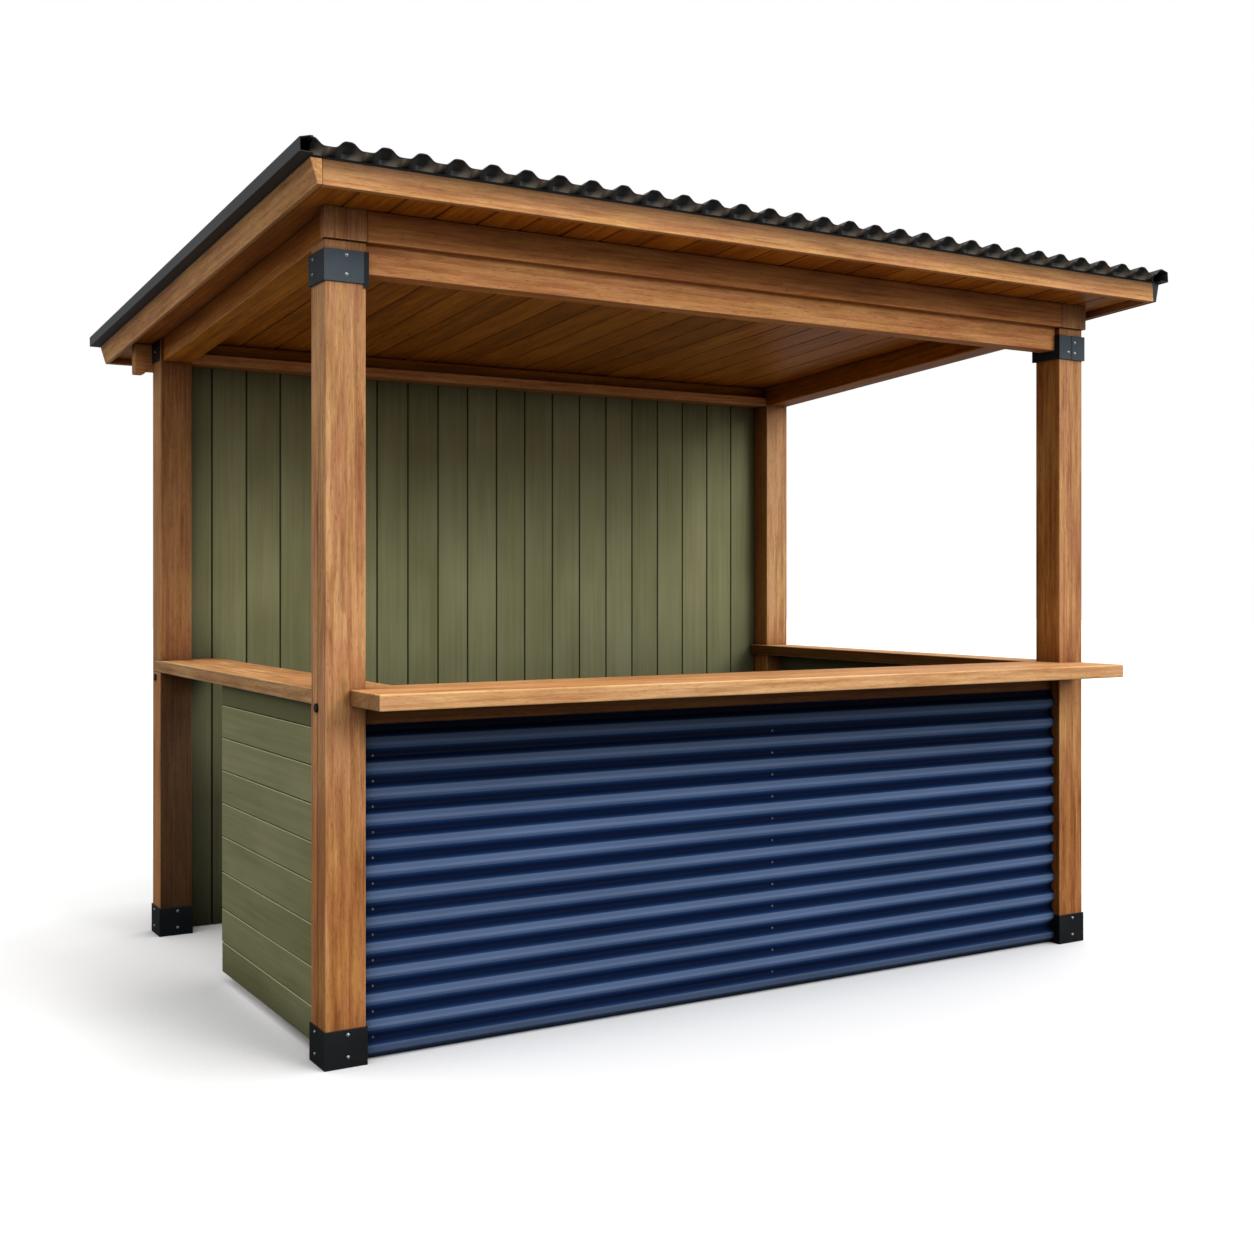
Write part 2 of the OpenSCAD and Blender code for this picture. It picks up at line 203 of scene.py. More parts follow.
def paintedShade(tree, reach, power, warmth=0.0):
    # painted shade: darkens corners, recesses and faces under other parts
    bare = openness(tree, {"Distance": reach}, shading["samples"])
    powers = {"Red": power * (1 - warmth), "Green": power, "Blue": power * (1 + warmth)}
    inputs = {key: calc(tree, "POWER", bare, value) for key, value in powers.items()}
    return addNode(tree, "ShaderNodeCombineColor", inputs).outputs[0]


def innerShade(tree, place, look):
    # painted shade on faces that look forward from the rear of the stall, darker toward the ground
    inner = remap(tree, facingOf(tree, "Y"), *shading["forward"])
    headLoss = 1 - look["innerMost"]
    footLoss = 1 - look["innerLeast"]
    height = partOf(tree, place, "Z")
    loss = remap(tree, height, look["innerHead"], look["innerFoot"], headLoss, footLoss)
    return calc(tree, "SUBTRACT", 1.0, times(tree, inner, loss))


def paintLeftShade(tree, base, tint):
    # painted shade on faces that look to the left, in a darker tint of their own
    share = remap(tree, facingOf(tree, "X"), *shading["left"])
    return blendColour(tree, share, base, tinted(tree, base, tint))


# Timber: long streaks, soft blotches, faint rings, fibres and pores along the grain

# each noise: stretch along and across the grain, detail, roughness
timberNoise = {
    "blotch": ((2.0, 12, 12), 2.0, 0.5), "mottle": ((12, 46, 46), 2.0, 0.6),
    "streak": ((4.6, 66, 66), 3.0, 0.55), "fine": ((15, 210, 210), 3.0, 0.6),
    "fibre": ((34, 820, 820), 2.0, 0.5), "pores": ((46, 480, 480), 1.0, 0.5),
    "fleck": ((38, 230, 230), 1.0, 0.5), "warm": ((3.6, 30, 30), 2.0, 0.5),
    "darkStreak": ((2.0, 42, 42), 2.0, 0.5),
}
# shares add up to the tone, and ranges pick the part of a noise that counts
timberMix = {
    "middle": 0.5, "blotchShare": 0.55, "mottleShare": 0.18, "streakShare": 0.8, "fineShare": 0.45,
    "staveShare": 0.22, "warmShare": 0.7, "range": (0.66, 1.26), "poreRange": (0.63, 0.72),
    "fleckRange": (0.64, 0.71), "warmRange": (0.4, 0.62), "darkRange": (0.6, 0.74),
    "fibreShade": (0.3, 0.7, 0.88, 1.08), "endShade": (0.0, 2.0, 1.0, 0.25), "rubRange": (0.35, 0.6, 0.05),
    "paintedShadeWarmth": 0.25, "glossRange": (0.3, 0.7), "glossSpread": 0.18,
    "fineRelief": 0.6, "fibreRelief": 0.5, "poreRelief": -0.7, "bump": (0.35, 0.0008),
}
timberRings = {
    "squeeze": (0.05, 1, 1), "scale": 0.314,
    "inputs": {"Distortion": 9.0, "Detail": 3.0, "Detail Scale": 0.5},
    "settings": {"wave_type": "RINGS", "rings_direction": "X", "wave_profile": "SAW"},
}


def ringsAt(tree, grain, pitch):
    squeezed = stretched(tree, grain, timberRings["squeeze"])
    inputs = {"Vector": squeezed, "Scale": timberRings["scale"] / pitch, **timberRings["inputs"]}
    return addNode(tree, "ShaderNodeTexWave", inputs, **timberRings["settings"]).outputs["Fac"]


def timberTone(tree, grain, tone, noise, look):
    # position on the colour ramp
    parts = [
        (noise["blotch"], timberMix["blotchShare"]),
        (ringsAt(tree, grain, look["ringPitch"]), look["ringShare"]),
        (calc(tree, "SUBTRACT", noise["mottle"], timberMix["middle"]), timberMix["mottleShare"]),
        (noise["streak"], timberMix["streakShare"]),
        (noise["fine"], timberMix["fineShare"]),
        (tone, look["toneShare"]),
    ]
    if look["stave"]:
        strip = calc(tree, "FLOOR", calc(tree, "DIVIDE", partOf(tree, grain, "Y"), look["stave"]))
        chance = addNode(tree, "ShaderNodeTexWhiteNoise", {"W": strip}, noise_dimensions="1D")
        offset = calc(tree, "SUBTRACT", chance.outputs["Value"], timberMix["middle"])
        parts.append((offset, timberMix["staveShare"]))
    return remap(tree, weighted(tree, parts), *timberMix["range"])


def timberMarksAndShade(tree, place, endGrain, noise, pores, look):
    # product of the grain marks and end grain that darken the colour, with painted shade under the eave and
    # on inner faces, and painted light on faces that look up
    shades = [
        remap(tree, pores, 0.0, 1.0, 1.0, look["poreShade"]),
        remap(tree, noise["fleck"], *timberMix["fleckRange"], 1.0, look["fleckShade"]),
        remap(tree, noise["darkStreak"], *timberMix["darkRange"], 1.0, look["streakShade"]),
        remap(tree, endGrain, *timberMix["endShade"]),
    ]
    # painted shade under the sheet's edge, darkest at the top of the fascia
    if look["eaveShade"]:
        rise = addNode(tree, "ShaderNodeVectorMath", {0: place, 1: roofUp}, operation="DOT_PRODUCT")
        shades.append(remap(tree, rise.outputs["Value"], *look["eaveShade"], look["eaveShadeFoot"], look["eaveShadeHead"]))
    # painted shade on the inner faces of the rear posts
    if look["innerLeast"] < 1:
        shades.append(innerShade(tree, place, look))
    # painted light on faces that look up
    if look["paintedTopLight"] > 1:
        shades.append(remap(tree, facingOf(tree, "Z"), *shading["up"], 1.0, look["paintedTopLight"]))
    dimmed = remap(tree, noise["fibre"], *timberMix["fibreShade"])
    for shade in shades:
        dimmed = times(tree, dimmed, shade)
    return dimmed


def timberMaterial(name, look):
    material, tree, shader = startMaterial(name, specular=look["specular"])
    shader.inputs["Specular Tint"].default_value = colour(look["sheen"])
    grain = readGrain(tree)
    place = placeOf(tree)
    wearAndHighlight, endGrain, tone = readMarks(tree)
    noise = {key: noiseAt(tree, grain, *values) for key, values in timberNoise.items()}
    pores = remap(tree, noise["pores"], *timberMix["poreRange"])
    share = timberTone(tree, grain, tone, noise, look)
    warm = times(tree, remap(tree, noise["warm"], *timberMix["warmRange"]), timberMix["warmShare"])
    plain = colourRamp(tree, share, look["stops"])
    base = blendColour(tree, warm, plain, colourRamp(tree, share, look["golden"]))
    # a tint toward the ground: the frame's posts grow darker toward the ground, and some looks spread their
    # tint over the whole piece
    lowTint = remap(tree, partOf(tree, place, "Z"), look["lowTintHead"], look["lowTintFoot"])
    base = blendColour(tree, lowTint, base, tinted(tree, base, look["lowTint"]))
    rubbed = times(tree, wearAndHighlight, remap(tree, noise["blotch"], *timberMix["rubRange"], look["rub"]))
    base = blendColour(tree, rubbed, base, look["worn"])
    base = tinted(tree, base, greyOf(tree, timberMarksAndShade(tree, place, endGrain, noise, pores, look)))
    # painted shade on faces that look to the left
    if look["leftShadeTint"]:
        base = paintLeftShade(tree, base, look["leftShadeTint"])
    # painted shade in corners and under other parts
    base = tinted(tree, base, paintedShade(tree, look["reach"], look["paintedShade"], timberMix["paintedShadeWarmth"]))
    tree.links.new(base, shader.inputs["Base Color"])
    dullest = look["gloss"] + timberMix["glossSpread"]
    roughness = remap(tree, noise["streak"], *timberMix["glossRange"], look["gloss"], dullest)
    tree.links.new(roughness, shader.inputs["Roughness"])
    reliefs = [
        (noise["fine"], timberMix["fineRelief"]), (noise["fibre"], timberMix["fibreRelief"]),
        (pores, timberMix["poreRelief"]),
    ]
    addBump(tree, shader, weighted(tree, reliefs, noise["streak"]), *timberMix["bump"])
    return material


honeyStops = [
    (0.0, (0.26, 0.094, 0.034)), (0.35, (0.39, 0.167, 0.069)),
    (0.65, (0.495, 0.237, 0.106)), (1.0, (0.60, 0.33, 0.16)),
]
goldenStops = [
    (0.0, (0.27, 0.116, 0.032)), (0.35, (0.405, 0.200, 0.066)),
    (0.65, (0.53, 0.287, 0.103)), (1.0, (0.635, 0.38, 0.162)),
]
frameLook = {
    "stops": honeyStops, "golden": goldenStops, "ringPitch": 0.016, "ringShare": 0.17, "toneShare": 0.08,
    "poreShade": 0.8, "streakShade": 0.76, "worn": (0.68, 0.42, 0.20), "gloss": 0.5, "specular": 0.12,
    "stave": 0.0, "reach": 0.2, "paintedShade": 1.25, "lowTint": (0.76, 0.63, 0.45),
    "lowTintHead": 1.1, "lowTintFoot": 0.5, "fleckShade": 0.72, "rub": 0.3,
    "eaveShade": None, "eaveShadeFoot": 1.12, "eaveShadeHead": 0.24,
    "innerHead": 1.12, "innerFoot": 0.85, "innerMost": 0.66, "innerLeast": 1.0, "paintedTopLight": 1.0,
    "leftShadeTint": None, "sheen": (1, 1, 1),
}
allOver = {"lowTintHead": 9.0, "lowTintFoot": 8.0}  # the low tint spread over the whole piece
# painted shade: the rear left post darker all over, with more painted shade low on its inner face
rearPostLook = {**frameLook, **allOver, "lowTint": (0.74, 0.62, 0.48), "innerLeast": 0.16}
# painted shade on the left faces of the right posts
rightPostLook = {**frameLook, "leftShadeTint": (0.80, 0.68, 0.40)}
beamLook = {**frameLook, **allOver, "lowTint": (1.14, 0.99, 0.78), "paintedShade": 0.5}
# deeper painted shade at the top of the rim board, under the ceiling
rimLook = {**frameLook, **allOver, "lowTint": (1.22, 1.02, 0.70), "reach": 0.3, "paintedShade": 1.5}
# painted shadow under the counter: the rail darker all over
railLook = {**frameLook, **allOver, "lowTint": (0.44, 0.36, 0.22)}
bargeLook = {**frameLook, **allOver, "lowTint": (1.08, 1.03, 0.92), "paintedShade": 0.7}
# painted shade on the fascias under the sheet's edge
edgeLook = {**frameLook, **allOver, "lowTint": (1.03, 0.95, 0.82), "eaveShade": span("fascia_front", roofUp)}
ceilingLook = {
    **frameLook,
    "stops": [(0.0, (0.22, 0.058, 0.003)), (0.4, (0.40, 0.120, 0.008)),
              (0.7, (0.53, 0.175, 0.013)), (1.0, (0.65, 0.24, 0.024))],
    "golden": [(0.0, (0.23, 0.068, 0.004)), (0.4, (0.42, 0.140, 0.010)),
               (0.7, (0.56, 0.200, 0.016)), (1.0, (0.68, 0.275, 0.028))],
    "toneShare": 0.11, "worn": (0.45, 0.22, 0.06), "gloss": 0.32, "specular": 0.25,
    "sheen": (1.0, 0.66, 0.30),
}
blockLook = {**frameLook, "streakShade": 0.5, "poreShade": 0.6}
counterLook = {
    **frameLook,
    "stops": [(0.0, (0.33, 0.135, 0.048)), (0.35, (0.455, 0.222, 0.090)),
              (0.65, (0.545, 0.295, 0.130)), (1.0, (0.64, 0.385, 0.190))],
    "golden": [(0.0, (0.35, 0.160, 0.048)), (0.35, (0.485, 0.258, 0.092)),
               (0.65, (0.585, 0.342, 0.136)), (1.0, (0.68, 0.43, 0.198))],
    "worn": (0.72, 0.49, 0.25), "stave": 0.088, **allOver, "lowTint": (1.0, 0.95, 0.93), "paintedShade": 0.6,
    # painted light on the tops of the counter and shelves
    "paintedTopLight": 1.62,
}
# painted shade on the left faces of the shelves, deep on the right shelf's inner face
leftShelfLook = {**counterLook, "leftShadeTint": (0.82, 0.88, 0.93)}
rightShelfLook = {**counterLook, "leftShadeTint": (0.22, 0.16, 0.08)}
frameTimber = timberMaterial("frame_timber_honey", frameLook)
rearPostTimber = timberMaterial("frame_timber_rear_shaded", rearPostLook)
rightPostTimber = timberMaterial("frame_timber_right_shaded", rightPostLook)
beamTimber = timberMaterial("frame_timber_beam", beamLook)
rimTimber = timberMaterial("frame_timber_rim_shaded", rimLook)
railTimber = timberMaterial("frame_timber_rail_shaded", railLook)
bargeTimber = timberMaterial("frame_timber_barge", bargeLook)
edgeTimber = timberMaterial("frame_timber_edge_shaded", edgeLook)
blockTimber = timberMaterial("frame_timber_checked", blockLook)
ceilingTimber = timberMaterial("ceiling_timber_stain", ceilingLook)
counterTimber = timberMaterial("counter_timber_top_lit", counterLook)
leftShelfTimber = timberMaterial("counter_timber_left_shaded", leftShelfLook)
rightShelfTimber = timberMaterial("counter_timber_right_shaded", rightShelfLook)


# Olive stain on boards: brushed streaks, with painted highlights on the arrises that look up

oliveLook = {
    "deep": (0.170, 0.168, 0.072), "plain": (0.222, 0.220, 0.104), "pale": (0.272, 0.268, 0.138),
    "edge": (0.36, 0.355, 0.20), "groove": (0.034, 0.033, 0.008), "roughness": 0.7, "specular": 0.1,
    "reach": 0.22, "paintedShade": 1.25, "innerHead": 1.35, "innerFoot": 0.5,
    "innerMost": 1.0, "innerLeast": 1.0, "lastShade": 0.74,
}
oliveNoise = {
    "brushed": ((1.6, 60, 60), 4.0, 0.6), "patch": ((2.2, 5, 5), 2.0, 0.5),
    "fibre": ((9, 620, 620), 2.0, 0.5),
}
oliveMix = {
    "brushedShare": 0.6, "patchShare": 0.7, "toneShare": 0.1, "fibreShare": 0.2, "range": (0.48, 1.02),
    "lastRange": (-3.5, -1.5), "highlightShare": 0.5, "grooveShare": 0.48, "fibreRelief": 0.6,
    "bump": (0.3, 0.0006),
}


def oliveMaterial(name, look):
    material, tree, shader = startMaterial(name, look["roughness"], look["specular"])
    grain = readGrain(tree)
    wearAndHighlight, groove, tone = readMarks(tree)
    noise = {key: noiseAt(tree, grain, *values) for key, values in oliveNoise.items()}
    parts = [
        (noise["brushed"], oliveMix["brushedShare"]), (noise["patch"], oliveMix["patchShare"]),
        (tone, oliveMix["toneShare"]), (noise["fibre"], oliveMix["fibreShare"]),
    ]
    stops = [(0.0, look["deep"]), (0.5, look["plain"]), (1.0, look["pale"])]
    base = colourRamp(tree, remap(tree, weighted(tree, parts), *oliveMix["range"]), stops)
    # painted shadow under a shelf: the board beneath it has a tone far below the others and is darker
    shelfShadow = remap(tree, tone, *oliveMix["lastRange"], look["lastShade"], 1.0)
    base = tinted(tree, base, greyOf(tree, shelfShadow))
    # painted highlight on the arrises that look up
    base = blendColour(tree, times(tree, wearAndHighlight, oliveMix["highlightShare"]), base, look["edge"])
    base = blendColour(tree, times(tree, groove, oliveMix["grooveShare"]), base, look["groove"])
    # painted shade on the inner face of the rear wall, deepest near the ground
    if look["innerLeast"] < 1:
        base = tinted(tree, base, greyOf(tree, innerShade(tree, placeOf(tree), look)))
    # painted shade in corners and under other parts
    base = tinted(tree, base, paintedShade(tree, look["reach"], look["paintedShade"]))
    tree.links.new(base, shader.inputs["Base Color"])
    relief = weighted(tree, [(noise["fibre"], oliveMix["fibreRelief"])], noise["brushed"])
    addBump(tree, shader, relief, *oliveMix["bump"])
    return material


sideLook = {
    **oliveLook, "edge": (0.50, 0.49, 0.28),
    "deep": (0.147, 0.145, 0.062), "plain": (0.192, 0.190, 0.089), "pale": (0.237, 0.233, 0.119),
}
oliveBoards = oliveMaterial("olive_boards_stain", sideLook)
# painted shade low on the rear wall's inner face
rearLook = {
    **oliveLook, "innerLeast": 0.28,
    "deep": (0.183, 0.181, 0.082), "plain": (0.238, 0.236, 0.117), "pale": (0.290, 0.286, 0.154),
}
oliveRear = oliveMaterial("olive_boards_rear_shaded", rearLook)


# Coated steel: fine grain in the coat, paler where edges are rubbed

steelCoat = {
    "cloud": ((9, 9, 9), 3.0), "speck": ((1400, 1400, 1400), 1.0), "range": (0.3, 0.7),
    "rub": (0.4, 0.62, 0.05, 0.5), "reach": 0.3, "paintedShade": 1.0, "bump": (0.18, 0.0003),
}


def steelMaterial(name, look):
    material, tree, shader = startMaterial(name, look["roughness"], look["specular"])
    place = placeOf(tree)
    wearAndHighlight = readMarks(tree)[0]
    cloud = noiseAt(tree, place, *steelCoat["cloud"])
    base = blendColour(tree, remap(tree, cloud, *steelCoat["range"]), look["deep"], look["plain"])
    rubbed = times(tree, wearAndHighlight, remap(tree, cloud, *steelCoat["rub"]))
    base = blendColour(tree, rubbed, base, look["worn"])
    # painted shade on faces that look to the left
    if look["leftShadeTint"]:
        base = paintLeftShade(tree, base, look["leftShadeTint"])
    # painted shade in corners and under other parts
    base = tinted(tree, base, paintedShade(tree, steelCoat["reach"], steelCoat["paintedShade"]))
    tree.links.new(base, shader.inputs["Base Color"])
    addBump(tree, shader, noiseAt(tree, place, *steelCoat["speck"]), *steelCoat["bump"])
    return material


# painted shade on the collars' faces that look to the left
collarLook = {
    "deep": (0.041, 0.056, 0.070), "plain": (0.058, 0.079, 0.096), "worn": (0.10, 0.115, 0.125),
    "roughness": 0.55, "specular": 0.15, "leftShadeTint": (0.29, 0.30, 0.31),
}
shoeLook = {
    "deep": (0.0055, 0.0068, 0.008), "plain": (0.010, 0.012, 0.0135), "worn": (0.03, 0.033, 0.036),
    "roughness": 0.55, "specular": 0.12, "leftShadeTint": None,
}
collarSteel = steelMaterial("black_steel_slate", collarLook)
shoeSteel = steelMaterial("black_steel_coated", shoeLook)


# Coated sheet: painted light on the crests, painted shade in the troughs

sheetCoat = {
    "cloudDetail": 4.0, "range": (0.3, 0.7), "cloudShade": (0.86, 1.12), "glossier": -0.06, "duller": 0.1,
    "dents": ((60, 60, 60), 2.0), "bump": (0.06, 0.001),
}


def sheetMaterial(name, look):
    material, tree, shader = startMaterial(name, look["roughness"], look["specular"])
    place = placeOf(tree)
    grain = readGrain(tree)
    wearAndHighlight, inside = readMarks(tree)[:2]
    cloud = noiseAt(tree, place, look["cloud"], sheetCoat["cloudDetail"])
    # painted light on the crests and painted shade in the troughs
    base = colourRamp(tree, partOf(tree, grain, "X"), look["stops"])
    base = blendColour(tree, wearAndHighlight, base, look["worn"])
    base = blendColour(tree, inside, base, look["inside"])
    cloudAndPaintedLight = remap(tree, cloud, *sheetCoat["range"], *sheetCoat["cloudShade"])
    # painted light on faces of the waves that look down
    if look["paintedUnderLight"] > 1:
        lift = remap(tree, partOf(tree, grain, "Y"), 0.0, 1.0, 1.0, look["paintedUnderLight"])
        cloudAndPaintedLight = times(tree, cloudAndPaintedLight, lift)
    # painted shadow under the counter, darker toward the top of the panel
    if look["shadowHead"]:
        shadowFoot = look["shadowHead"] - look["shadowDeep"]
        height = partOf(tree, place, "Z")
        counterShadow = remap(tree, height, shadowFoot, look["shadowHead"], 1.0, look["shadowLeast"])
        cloudAndPaintedLight = times(tree, cloudAndPaintedLight, counterShadow)
    base = tinted(tree, base, greyOf(tree, cloudAndPaintedLight))
    # painted shade in corners and under other parts
    base = tinted(tree, base, paintedShade(tree, look["reach"], look["paintedShade"]))
    tree.links.new(base, shader.inputs["Base Color"])
    glossiest = look["roughness"] + sheetCoat["glossier"]
    dullest = look["roughness"] + sheetCoat["duller"]
    gloss = remap(tree, cloud, *sheetCoat["range"], glossiest, dullest)
    tree.links.new(gloss, shader.inputs["Roughness"])
    addBump(tree, shader, noiseAt(tree, place, *sheetCoat["dents"]), *sheetCoat["bump"])
    return material


# the ramp holds the painted shade of the troughs and the painted light of the crests
navyLook = {
    "stops": [(0.0, (0.0007, 0.0047, 0.026)), (0.25, (0.0040, 0.0150, 0.055)),
              (0.53, (0.0120, 0.0340, 0.097)), (0.61, (0.073, 0.109, 0.197)), (1.0, (0.071, 0.107, 0.194))],
    "worn": (0.05, 0.07, 0.12), "inside": (0.012, 0.02, 0.05), "cloud": (1.2, 6, 6),
    "roughness": 0.5, "specular": 0.025, "paintedShade": 1.6, "reach": 0.1, "paintedUnderLight": 2.4,
    "shadowHead": span("front_panel", zAxis)[1], "shadowDeep": 0.3, "shadowLeast": 0.22,
}
charcoalLook = {
    "stops": [(0.0, (0.028, 0.029, 0.030)), (1.0, (0.036, 0.037, 0.039))],
    "worn": (0.045, 0.047, 0.05), "inside": (0.105, 0.092, 0.072), "cloud": (5, 1.2, 5),
    "roughness": 0.5, "specular": 0.15, "paintedShade": 0.3, "reach": 0.2, "paintedUnderLight": 1.0, "shadowHead": None,
}
flashingLook = {
    **charcoalLook, "inside": (0.020, 0.021, 0.022),
    "stops": [(0.0, (0.036, 0.041, 0.043)), (1.0, (0.043, 0.049, 0.051))],
}
stripLook = {
    **charcoalLook, "specular": 0.0, "reach": 0.04,
    "stops": [(0.0, (0.012, 0.012, 0.012)), (1.0, (0.014, 0.014, 0.014))],
}
# painted shadow: dark under each crest, brown under the troughs
fillerLook = {
    **charcoalLook,
    "stops": [(0.0, (0.030, 0.030, 0.030)), (0.24, (0.034, 0.033, 0.031)), (0.56, (0.112, 0.096, 0.076)),
              (1.0, (0.165, 0.140, 0.108))],
}
navySheet = sheetMaterial("navy_sheet_coated", navyLook)
charcoalSheet = sheetMaterial("charcoal_sheet_coated", charcoalLook)
flashingSheet = sheetMaterial("charcoal_sheet_folded", flashingLook)
stripBlack = sheetMaterial("charcoal_sheet_strip", stripLook)
fillerBrown = sheetMaterial("charcoal_sheet_filler", fillerLook)


# Zinc bolts and black plugs

zincLook = {
    "roughness": 0.34, "cloud": ((260, 260, 260), 3.0), "range": (0.35, 0.65),
    "gloss": (0.3, 0.7, 0.28, 0.5),
    "deep": (0.20, 0.215, 0.23), "plain": (0.42, 0.44, 0.46),
}


def zincMaterial(name, look):
    material, tree, shader = startMaterial(name, look["roughness"], metallic=1.0)
    cloud = noiseAt(tree, placeOf(tree), *look["cloud"])
    base = blendColour(tree, remap(tree, cloud, *look["range"]), look["deep"], look["plain"])
    tree.links.new(base, shader.inputs["Base Color"])
    tree.links.new(remap(tree, cloud, *look["gloss"]), shader.inputs["Roughness"])
    return material


zinc = zincMaterial("black_steel_zinc", zincLook)
screwLook = {**collarLook, "deep": (0.06, 0.07, 0.09), "plain": (0.11, 0.125, 0.15)}
screwSteel = steelMaterial("black_steel_screw", screwLook)
plugBlack = steelMaterial("black_steel_plug", {**shoeLook, "roughness": 0.4})
print("materials made")


# Mesh helpers

def startMesh():
    bm = bmesh.new()
    bm.verts.layers.float_vector.new("grain")
    bm.faces.layers.float_vector.new("marks")
    return bm


def layersOf(bm):
    return bm.verts.layers.float_vector["grain"], bm.faces.layers.float_vector["marks"]


pithPlace = {"along": 40, "aside": 0.09, "away": (0.05, 0.16)}
# cosines that sort faces by the way they look
looking = {"along": 0.8, "aside": 0.5, "flat": 0.95, "least": 0.3, "most": 0.9}
# metres for merging and cutting, degrees for flat and sharp edges
solids = {"merge": 1e-5, "cut": 1e-6, "flat": 0.5, "sharp": 15}


def grainPart(bm, verts, faces, along, dice, tone=0.0, worn=(), endMark=1.0):
    # grain runs along x of its own space, with a pith outside the piece
    side = along.cross(zAxis) if abs(along.z) < looking["along"] else along.cross(yAxis)
    side.normalize()
    up = side.cross(along)
    middle = sum((v.co for v in verts), Vector()) / len(verts)
    shift = Vector((dice.uniform(0, pithPlace["along"]), 0, 0))
    aside = dice.uniform(-pithPlace["aside"], pithPlace["aside"])
    pith = Vector((0, aside, dice.choice((-1, 1)) * dice.uniform(*pithPlace["away"])))
    grain, marks = layersOf(bm)
    for v in verts:
        local = v.co - middle
        v[grain] = Vector((local.dot(along), local.dot(side), local.dot(up))) + pith + shift
    wornSet = set(worn)
    for face in faces:
        face.normal_update()
        ends = endMark if abs(face.normal.dot(along)) > looking["along"] else 0.0
        face[marks] = Vector((1.0 if face in wornSet else 0.0, ends, tone))


def addPiece(name, bm, material, replaced=(), sharpFrom=None):
    # faces are flat, or smooth up to an angle in degrees
    mesh = bpy.data.meshes.new(name)
    bmesh.ops.recalc_face_normals(bm, faces=bm.faces)
    bm.to_mesh(mesh)
    bm.free()
    for face in mesh.polygons:
        face.use_smooth = sharpFrom is not None
    if sharpFrom is not None:
        mesh.set_sharp_from_angle(angle=math.radians(sharpFrom))
    mesh.materials.append(material)
    piece = bpy.data.objects.new(name, mesh)
    bpy.context.scene.collection.objects.link(piece)
    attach(piece, "root")
    if replaced:
        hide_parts(*replaced)


def nodeMesh(node):
    # the node's solid as plain flat faces
    bm = startMesh()
    bm.from_mesh(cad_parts[node].data)
    bmesh.ops.remove_doubles(bm, verts=bm.verts, dist=solids["merge"])
    flat = math.radians(solids["flat"])
    bmesh.ops.dissolve_limit(bm, angle_limit=flat, verts=bm.verts, edges=bm.edges)
    return bm


timberTones = {
    "post_rear_left": 1.5, "post_rear_right": 1.8, "front_beam": 0.6, "rear_wall_plate": 0.8,
    "rear_beam": 1.0, "barge_board_left": 1.0, "post_front_right": -0.9, "shelf_left": -0.8,
}
timberChecks = {
    "post_front_left": {"at": 0.52, "width": 0.003, "deep": 0.005, "head": 1.62, "tuck": 0.01, "mark": 2},
}


def cutCheck(bm, node, check):
    # drying check along the outer face of a left post, from its shoe upward
    low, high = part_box(node)
    middle = low.y + (high.y - low.y) * check["at"]
    half = check["width"] / 2
    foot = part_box(node.replace("post", "shoe"))[1].z - check["tuck"]
    planes = [(Vector((0, middle + side * half, 0)), yAxis) for side in (-1, 1)]
    planes += [(Vector((0, 0, level)), zAxis) for level in (foot, check["head"])]
    for spot, square in planes:
        everything = bm.verts[:] + bm.edges[:] + bm.faces[:]
        bmesh.ops.bisect_plane(bm, geom=everything, dist=solids["cut"], plane_co=spot, plane_no=square)
    bm.normal_update()

    def inMouth(face):
        centre = face.calc_center_median()
        inside = abs(centre.y - middle) < half and foot < centre.z < check["head"]
        return inside and face.normal.x < -looking["most"]

    mouth = [face for face in bm.faces if inMouth(face)]
    made = bmesh.ops.extrude_face_region(bm, geom=mouth)
    bottom = [part for part in made["geom"] if isinstance(part, bmesh.types.BMVert)]
    bmesh.ops.translate(bm, verts=bottom, vec=xAxis * check["deep"])
    left = [face for face in mouth if face.is_valid]
    bmesh.ops.delete(bm, geom=left, context="FACES")
    marks = layersOf(bm)[1]
    for vert in bottom:
        for face in vert.link_faces:
            face[marks] = Vector((0, check["mark"], 0))


def dress(node, material, along, arris, segments=2, prefix="timber", endMark=1.0):
    bm = nodeMesh(node)
    least = math.radians(solids["sharp"])
    sharp = [e for e in bm.edges if e.is_convex and e.calc_face_angle(0) > least]
    made = bmesh.ops.bevel(
        bm, geom=sharp, offset=arris, segments=segments, profile=0.5, affect="EDGES", clamp_overlap=True
    )
    dice = random.Random(node)
    tone = timberTones.get(node, dice.uniform(-1, 1))
    grainPart(bm, bm.verts, bm.faces, along, dice, tone, made["faces"], endMark)
    if node in timberChecks:
        cutCheck(bm, node, timberChecks[node])
    addPiece(prefix + "_" + node, bm, material, (node,))


# Frame timbers, with eased arrises

timbers = {"arris": 0.004, "blockArris": 0.002, "edgeArris": 0.0025, "slot": "frame_timber"}
timberRows = [
    (["post_front_left", "front_stud", "left_wall_stud"], frameTimber, zAxis, "arris"),
    (["post_rear_left"], rearPostTimber, zAxis, "arris"),
    (["corner_block_left", "corner_block_right"], blockTimber, zAxis, "blockArris"),
    (["post_front_right", "post_rear_right"], rightPostTimber, zAxis, "arris"),
    (["front_rim_board"], rimTimber, xAxis, "arris"),
    (["front_top_rail", "front_bottom_rail"], railTimber, xAxis, "arris"),
    (["front_beam", "rear_beam", "rear_wall_plate"], beamTimber, xAxis, "arris"),
    (["fascia_front", "fascia_rear"], edgeTimber, xAxis, "edgeArris"),
]
for nodes, material, along, arris in timberRows:
    for node in nodes:
        dress(node, material, along, timbers[arris])
for node in ("barge_board_left", "barge_board_right"):
    dress(node, bargeTimber, roofDown, timbers["edgeArris"], endMark=0.0)
